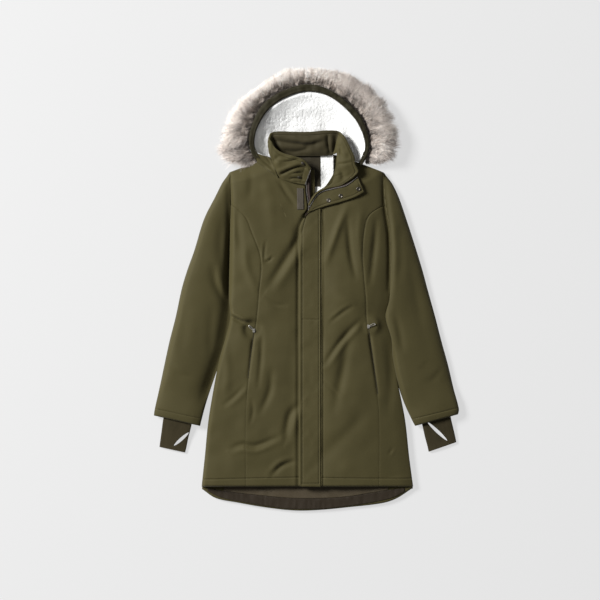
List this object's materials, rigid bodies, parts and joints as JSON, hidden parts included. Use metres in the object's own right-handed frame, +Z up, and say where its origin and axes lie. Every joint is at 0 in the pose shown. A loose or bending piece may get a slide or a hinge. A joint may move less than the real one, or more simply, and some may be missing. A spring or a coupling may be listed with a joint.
{
  "type": "fur trimmed parka, laid out flat",
  "caption": "Hooded olive parka with a faux fur trim, laid flat on its back, its front zipped under a storm flap and turned back at the neck.",
  "frame": {"origin": "centre of the coat's box, on the surface it lies on", "axes": "+Y along the coat from hem to hood, +Z up from the surface, +X to the wearer's left"},
  "size_m": [0.759, 1.0997, 0.0606],
  "materials": {
    "shell_olive": "soft matte woven shell with a slight sheen",
    "cuff_dark": "matte woven cloth, darker olive",
    "lining_green": "smooth lining",
    "lining_brown": "smooth dark brown facing",
    "sherpa_white": "curly pile fleece",
    "fur_taupe": "long pile faux fur, dark roots and light tips",
    "tab_grey": "plain woven tab",
    "zip_silver": "satin metal",
    "metal_dark": "dark satin metal"
  },
  "bodies": {
    "coat": {"back": "shell_olive", "back_lining": "lining_green", "back_hem_facing": "lining_brown", "front_center_left": "shell_olive", "front_center_right": "shell_olive", "front_side_left": "shell_olive", "front_side_right": "shell_olive", "sleeve_left": "shell_olive", "sleeve_right": "shell_olive", "inner_cuff_left": "cuff_dark", "inner_cuff_right": "cuff_dark", "neck_lining": "sherpa_white", "neck_patch": "lining_brown", "storm_flap": "shell_olive", "storm_flap_turned": "shell_olive", "zip_right": "zip_silver", "zip_left": "zip_silver", "zip_closed": "zip_silver", "front_facing": "shell_olive", "wind_guard": "cuff_dark", "flap_snap_1": "metal_dark", "flap_snap_2": "metal_dark", "flap_snap_3": "metal_dark", "chest_tab": "tab_grey", "collar": "shell_olive", "collar_stud_lower": "metal_dark", "collar_stud_upper": "metal_dark", "hood_shell": "shell_olive", "hood_lining": "sherpa_white", "hood_rim": "cuff_dark", "hood_throat": "shell_olive", "fur_trim": "fur_taupe", "pocket_zip_left": "metal_dark", "pocket_zip_right": "metal_dark", "pocket_slider_left": "zip_silver", "pocket_slider_right": "zip_silver"},
    "pull_left": {"pocket_pull_left": "zip_silver"},
    "pull_right": {"pocket_pull_right": "zip_silver"}
  },
  "joints": [
    {"name": "pull_left_hinge", "type": "hinge", "parent": "coat", "child": "pull_left", "pos_m": [-0.12927, -0.09995, 0.0337], "axis": [0.682, 0.7314, 0], "range_deg": [0, 140]},
    {"name": "pull_right_hinge", "type": "hinge", "parent": "coat", "child": "pull_right", "pos_m": [0.15534, -0.08994, 0.03241], "axis": [0.3746, -0.9272, 0], "range_deg": [0, 140]}
  ]
}
